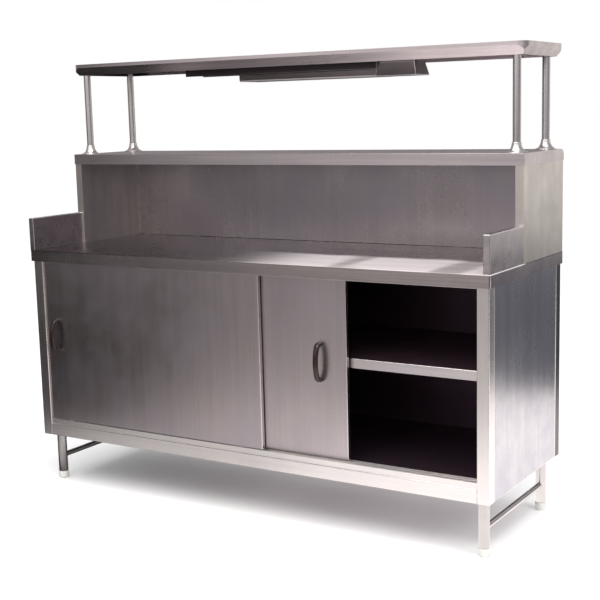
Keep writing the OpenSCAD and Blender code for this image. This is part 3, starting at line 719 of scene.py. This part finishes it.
def glide_foot(node, name):
    """Levelling foot: an outline (radius, height) turned about its middle. A quarter of an ellipse makes the
    rounded tread and another the shoulder, and the stem's radius goes up and down for its thread."""
    low, high = corners(node)
    centre = (low[:2] + high[:2]) / 2
    r = (high[0] - low[0]) / 2
    tread = FOOT_H
    stem_top = high[2] - low[2]
    a = np.linspace(0.0, math.pi / 2, 8)
    shoe = np.stack([r * 0.72 + r * 0.28 * np.sin(a), r * 0.28 * (1 - np.cos(a))], -1)
    shoulder = np.stack([r * 0.80 + r * 0.2 * np.cos(a), tread - r * 0.2 + r * 0.2 * np.sin(a)], -1)
    waist = np.array([[r, tread * 0.45], [r * 0.985, tread * 0.62]])
    stem = [[0.0050, tread]]
    half_pitch, crest, depth, middle = 0.00075, 0.0049, 0.0004, 0.00002
    turns = np.arange(tread + 0.001, stem_top - 0.0012, half_pitch)
    thread = np.stack([crest - depth * (np.arange(len(turns)) % 2), turns], -1)
    top = [[0.0045, stem_top - 0.0004], [0.0040, stem_top], [middle, stem_top]]
    profile = np.concatenate([[[middle, 0.0]], shoe, waist, shoulder, stem, thread, top])
    profile[:, 1] += low[2]
    return ring_skin(name, turned(centre, profile, 48), "white", 40.0)


def straight_tube(node, name, material, places, radius):
    """Drawn tube: a wall's outline (radius, height) turned about the tube's middle, its two ends eased."""
    low, high = corners(node)
    ease, wall = 0.0008, 0.0015
    profile = [
        (radius - wall, low[2]), (radius - ease, low[2]), (radius, low[2] + ease),
        (radius, high[2] - ease), (radius - ease, high[2]), (radius - wall, high[2]),
        (radius - wall, low[2]),
    ]
    skins = [
        ring_skin(f"{name}_{k}", turned(place, profile, edges().round_steps), material, 40.0, True)
        for k, place in enumerate(places)
    ]
    return joined(name, skins) if len(skins) > 1 else skins[0]


# ---- operators ----


class COUNTER_OT_materials(bpy.types.Operator):
    """Makes the finishes that the counter's pieces take."""

    bl_idname = "counter.materials"
    bl_label = "Finishes"

    def execute(self, context):
        make_materials()
        return {"FINISHED"}


class COUNTER_OT_worktop(bpy.types.Operator):
    """Worktop pan with its front fold and the two end splashes."""

    bl_idname = "counter.worktop"
    bl_label = "Worktop"

    def execute(self, context):
        eased("worktop_pan", "worktop", edges().worktop_fold, 4)
        eased("splash_left", "band")
        eased("splash_right", "band")
        finish_cad("worktop_core_board", "board")
        return {"FINISHED"}


class COUNTER_OT_riser(bpy.types.Operator):
    """Riser behind the worktop: top pan, end panels, back and channels."""

    bl_idname = "counter.riser"
    bl_label = "Riser"

    def execute(self, context):
        eased("riser_top_pan", "band")
        eased("riser_side_left", "riser_end")
        eased("riser_side_right", "riser_end")
        eased("riser_back_panel", "riser_sheet", rear=True)
        finish_cad("riser_channels", "track")
        return {"FINISHED"}


class COUNTER_OT_overshelf(bpy.types.Operator):
    """Overshelf pan with its rolled edge, and the channels under it."""

    bl_idname = "counter.overshelf"
    bl_label = "Overshelf"

    def execute(self, context):
        eased("overshelf_pan", "band", 0.0026)
        finish_cad("overshelf_channels", "warmer")
        return {"FINISHED"}


class COUNTER_OT_posts(bpy.types.Operator):
    """Four polished posts with their trumpet flanges and tie rods."""

    bl_idname = "counter.posts"
    bl_label = "Posts"

    def execute(self, context):
        places = post_places()
        posts = straight_tube("overshelf_posts", "polished_posts", "tube", places, POST_R)
        attach(posts, "overshelf_posts")
        low, _high = corners("post_flanges")
        skins = [trumpet_flange(p, low[2], f"flange_{k}") for k, p in enumerate(places)]
        attach(joined("trumpet_flanges", skins), "post_flanges")
        finish_cad("post_tie_rods", "hardware")
        return {"FINISHED"}


class COUNTER_OT_warmer(bpy.types.Operator):
    """Food warmer hung under the overshelf."""

    bl_idname = "counter.warmer"
    bl_label = "Food warmer"

    def execute(self, context):
        eased("warmer_channel", "warmer")
        eased("warmer_terminal_box", "warmer_box")
        eased("warmer_reflector", "reflector", 0.0006, 2)
        eased("warmer_end_cap", "reflector", 0.0006, 2)
        finish_cad("heating_element", "element")
        finish_cad("element_holders", "ceramic")
        finish_cad("terminal_block", "ceramic")
        finish_cad("cable_gland", "black")
        finish_cad("warmer_hangers", "warmer")
        finish_cad("warmer_screws", "hardware")
        return {"FINISHED"}


class COUNTER_OT_cabinet(bpy.types.Operator):
    """Cabinet shell: corner posts, panels, rails, tracks, deck and shelf."""

    bl_idname = "counter.cabinet"
    bl_label = "Cabinet"

    def execute(self, context):
        eased("front_posts", "post")
        eased("rear_posts", "rear_post")
        eased("side_panel_left", "rear", inward=(1, 0, 0))
        eased("side_panel_right", "end_panel", inward=(-1, 0, 0))
        eased("back_panel", "panel", inward=(0, -1, 0), rear=True)
        eased("bottom_rail", "rail")
        eased("bottom_track", "rail", 0.0008, 2)
        eased("middle_shelf", "shelf", inward=(0, 0, 1))
        eased("head_track", "track", 0.0008, 2)
        finish_cad("bottom_deck", "inner")
        finish_cad("shelf_supports", "track")
        finish_cad("deck_channels", "track")
        return {"FINISHED"}


class COUNTER_OT_doors(bpy.types.Operator):
    """Two sliding doors with their liners, runners and wheels."""

    bl_idname = "counter.doors"
    bl_label = "Sliding doors"

    def execute(self, context):
        for side in ("left", "right"):
            eased(f"{side}_door_skin", "panel")
            finish_cad(f"{side}_door_liner", "inner")
            finish_cad(f"{side}_door_runners", "hardware")
            finish_cad(f"{side}_wheel_outer", "white")
            finish_cad(f"{side}_wheel_inner", "white")
        return {"FINISHED"}


class COUNTER_OT_handles(bpy.types.Operator):
    """Bow handles of the two doors."""

    bl_idname = "counter.handles"
    bl_label = "Handles"

    def execute(self, context):
        for side in ("left", "right"):
            node = f"{side}_door_handle"
            attach(bow_handle(node, f"{side}_bow_handle"), node)
        return {"FINISHED"}


class COUNTER_OT_legs(bpy.types.Operator):
    """Tube legs, cross rails, plates, inserts and levelling feet."""

    bl_idname = "counter.legs"
    bl_label = "Legs and feet"

    def execute(self, context):
        for end in ("front", "rear"):
            for side in ("left", "right"):
                node = f"leg_{end}_{side}"
                low, high = corners(node)
                place = (low[:2] + high[:2]) / 2
                leg = straight_tube(node, node + "_tube", "tube", [place], (high[0] - low[0]) / 2)
                attach(leg, node)
                foot = f"foot_{end}_{side}"
                attach(glide_foot(foot, foot + "_glide"), foot)
        finish_cad("cross_rails", "tube")
        finish_cad("leg_plates", "track")
        finish_cad("foot_inserts", "black")
        return {"FINISHED"}


def reflection_card(name, points, tone, ramps=()):
    """Glowing sheet that only the steel's reflections see. Each ramp (direction, from, to, low, high) fades the
    glow smoothly along a direction, between two distances."""
    mesh = bpy.data.meshes.new(name)
    mesh.from_pydata([tuple(p) for p in points], [], [(0, 1, 2, 3)])
    material = bpy.data.materials.new(name)
    material.use_nodes = True
    tree = material.node_tree
    tree.nodes.remove(tree.nodes["Principled BSDF"])
    place = tree.nodes.new("ShaderNodeTexCoord").outputs["Object"]
    glow = tree.nodes.new("ShaderNodeEmission")
    glow.inputs["Color"].default_value = (*tone, 1.0)
    strength = None
    for direction, start, end, low, high in ramps:
        along = tree.nodes.new("ShaderNodeVectorMath")
        along.operation = "DOT_PRODUCT"
        tree.links.new(place, along.inputs[0])
        along.inputs[1].default_value = direction
        fade = ranged(tree, along.outputs["Value"], start, end, low, high)
        strength = fade if strength is None else math_node(tree, "MULTIPLY", strength, fade)
    if strength is not None:
        tree.links.new(strength, glow.inputs["Strength"])
    tree.links.new(glow.outputs[0], tree.nodes["Material Output"].inputs["Surface"])
    mesh.materials.append(material)
    o = bpy.data.objects.new(name, mesh)
    bpy.context.scene.collection.objects.link(o)
    o.visible_camera = o.visible_diffuse = o.visible_shadow = False
    return o


def upright(centre, width, low, high, heading):
    """Corners of an upright sheet, its width turned by heading about Z."""
    c, s = math.cos(heading) * width / 2, math.sin(heading) * width / 2
    x, y = centre
    return [(x - c, y - s, low), (x + c, y + s, low), (x + c, y + s, high), (x - c, y - s, high)]


def soft_lamp(name, place, target, size, power, colour=(1.0, 1.0, 1.0)):
    lamp = bpy.data.lights.new(name, "AREA")
    lamp.shape = "RECTANGLE"
    lamp.size, lamp.size_y = size
    lamp.energy = power
    lamp.color = colour
    o = bpy.data.objects.new(name, lamp)
    bpy.context.scene.collection.objects.link(o)
    o.location = place
    o.rotation_euler = (Vector(target) - Vector(place)).to_track_quat("-Z", "Y").to_euler()
    o.visible_camera = False
    return o


class COUNTER_OT_stage(bpy.types.Operator):
    """Pale floor, soft light, reflection cards and the camera."""

    bl_idname = "counter.stage"
    bl_label = "Stage"

    def execute(self, context):
        s = stage_settings()
        scene = context.scene
        scene.view_settings.view_transform = "Standard"
        self.make_camera(scene, s)
        self.make_floor()
        self.make_world(scene, s)
        self.make_lights(s)
        return {"FINISHED"}

    def make_camera(self, scene, s):
        """Camera from its turn, tilt and roll: forward, then right and down turned by the roll."""
        data = bpy.data.cameras.new("camera")
        data.lens = s.lens
        data.sensor_width = 36.0
        camera = bpy.data.objects.new("camera", data)
        scene.collection.objects.link(camera)
        yaw, tilt, roll = s.camera_turn
        forward = np.array([-math.sin(yaw) * math.cos(tilt), math.cos(yaw) * math.cos(tilt), -math.sin(tilt)])
        right = np.array([math.cos(yaw), math.sin(yaw), 0.0])
        down = np.cross(forward, right)
        across = math.cos(roll) * right + math.sin(roll) * down
        lower = math.cos(roll) * down - math.sin(roll) * right
        turn = Matrix((across, -lower, -forward)).transposed()
        camera.matrix_world = Matrix.Translation(Vector(s.camera_place)) @ turn.to_4x4()
        data.clip_start, data.clip_end = 0.05, 100.0
        scene.camera = camera

    def make_floor(self):
        """A wide pale floor, and over it two sheets that the steel reflects: one dark to the left of the counter
        and bright to its right, and a strip before the left door."""
        self.floor_sheet("floor", 60.0).visible_glossy = False
        reflection_card(
            "floor reflection",
            [(-7.0, -5.0, 0.0005), (6.0, -5.0, 0.0005), (6.0, 5.0, 0.0005), (-7.0, 5.0, 0.0005)],
            (0.95, 0.885, 0.87),
            [
                ((1.0, -0.55, 0.0), -0.88, 0.30, 0.02, 1.0),
                ((0.0, 1.0, 0.0), -2.4, -0.8, 0.40, 1.0),
                ((1.0, 0.0, 0.0), -0.6, 0.7, 1.0, 1.5),
            ],
        )
        reflection_card(
            "front strip",
            [(-1.7, -0.9, 0.002), (-0.1, -0.9, 0.002), (-0.1, -0.42, 0.002), (-1.7, -0.42, 0.002)],
            (0.62, 0.58, 0.58),
            [((1.0, 0.0, 0.0), -1.7, -0.8, 0.15, 1.0)],
        )

    def floor_sheet(self, name, half):
        mesh = bpy.data.meshes.new(name)
        square = [(-half, -half, 0.0), (half, -half, 0.0), (half, half, 0.0), (-half, half, 0.0)]
        mesh.from_pydata(square, [], [(0, 1, 2, 3)])
        material, tree, shader, vector = new_material("pale " + name)
        faint = noise(tree, vector, (6.0, 6.0, 6.0), 4.0)
        tree.links.new(mixed(tree, faint, (0.90, 0.90, 0.90), (0.94, 0.94, 0.94)), shader.inputs["Base Color"])
        shader.inputs["Roughness"].default_value = 0.9
        shader.inputs["Specular IOR Level"].default_value = 0.1
        mesh.materials.append(material)
        floor = bpy.data.objects.new(name, mesh)
        bpy.context.scene.collection.objects.link(floor)
        return floor

    def make_world(self, scene, s):
        """The camera sees white, diffuse light comes from a bright room, and the steel's reflections see a dim
        room.
        """
        world = bpy.data.worlds.new("room")
        world.use_nodes = True
        tree = world.node_tree
        background = tree.nodes["Background"]
        path = tree.nodes.new("ShaderNodeLightPath")
        dim = s.room_light
        tone = mixed(tree, path.outputs["Is Camera Ray"], (dim, dim * 0.93, dim * 0.92), (1.0, 1.0, 1.0))
        tone = mixed(tree, path.outputs["Is Diffuse Ray"], tone, (1.16, 1.16, 1.16))
        tree.links.new(tone, background.inputs["Color"])
        scene.world = world

    def make_lights(self, s):
        """A large lamp overhead, a small one to the right, and the walls that the steel reflects."""
        soft_lamp("over", (0.6, -1.6, 3.4), (0.2, 0.0, 0.3), (3.6, 3.0), s.lamp_power, (1.0, 0.98, 0.97))
        side = soft_lamp("right", (3.4, -0.6, 1.9), (0.2, 0.0, 0.7), (1.8, 1.8), s.lamp_power * 0.35)
        side.visible_glossy = False
        turn = math.radians(-20.0)
        reflection_card(
            "front wall",
            upright((-1.5, -5.0), 13.0, 0.0, 3.5, 0.0),
            (0.80, 0.745, 0.74),
            [
                ((1.0, 0.0, 0.0), -5.6, -3.1, 0.05, 1.0),
                ((0.0, 0.0, 1.0), 0.6, 1.3, 0.33, 1.0),
                ((-0.5, 0.0, 1.0), 2.9, 3.9, 1.0, 1.6),
            ],
        )
        reflection_card(
            "front right",
            upright((2.3, -1.6), 2.8, 0.0, 2.2, 0.0),
            (0.05, 0.045, 0.05),
            [((0.0, 0.0, 1.0), 1.05, 1.30, 1.0, 13.0)],
        )
        reflection_card("back right low", upright((1.50, 1.70), 3.0, 0.02, 0.70, turn), (0.12, 0.12, 0.138))
        reflection_card("back right high", upright((1.70, 2.10), 3.4, 0.70, 1.9, turn), (0.80, 0.775, 0.74))


class COUNTER_PT_panel(bpy.types.Panel):
    """Lists the steps that dress the counter."""

    bl_label = "Service counter"
    bl_idname = "COUNTER_PT_panel"
    bl_space_type = "VIEW_3D"
    bl_region_type = "UI"
    bl_category = "Counter"

    def draw(self, context):
        for step in STEPS:
            self.layout.operator(step.bl_idname)
        for settings in (context.scene.counter_steel, context.scene.counter_edges, context.scene.counter_stage):
            for label in settings.__annotations__:
                self.layout.prop(settings, label)


STEPS = (
    COUNTER_OT_materials,
    COUNTER_OT_worktop,
    COUNTER_OT_riser,
    COUNTER_OT_overshelf,
    COUNTER_OT_posts,
    COUNTER_OT_warmer,
    COUNTER_OT_cabinet,
    COUNTER_OT_doors,
    COUNTER_OT_handles,
    COUNTER_OT_legs,
    COUNTER_OT_stage,
)
GROUPS_OF_SETTINGS = (CounterSteelSettings, CounterEdgeSettings, CounterStageSettings)


def register():
    for item in (*GROUPS_OF_SETTINGS, *STEPS, COUNTER_PT_panel):
        bpy.utils.register_class(item)
    bpy.types.Scene.counter_steel = PointerProperty(type=CounterSteelSettings)
    bpy.types.Scene.counter_edges = PointerProperty(type=CounterEdgeSettings)
    bpy.types.Scene.counter_stage = PointerProperty(type=CounterStageSettings)


def unregister():
    del bpy.types.Scene.counter_steel
    del bpy.types.Scene.counter_edges
    del bpy.types.Scene.counter_stage
    for item in reversed((*GROUPS_OF_SETTINGS, *STEPS, COUNTER_PT_panel)):
        bpy.utils.unregister_class(item)


def main():
    register()
    for step in STEPS:
        family, action = step.bl_idname.split(".")
        getattr(getattr(bpy.ops, family), action)()


if __name__ == "__main__":
    main()
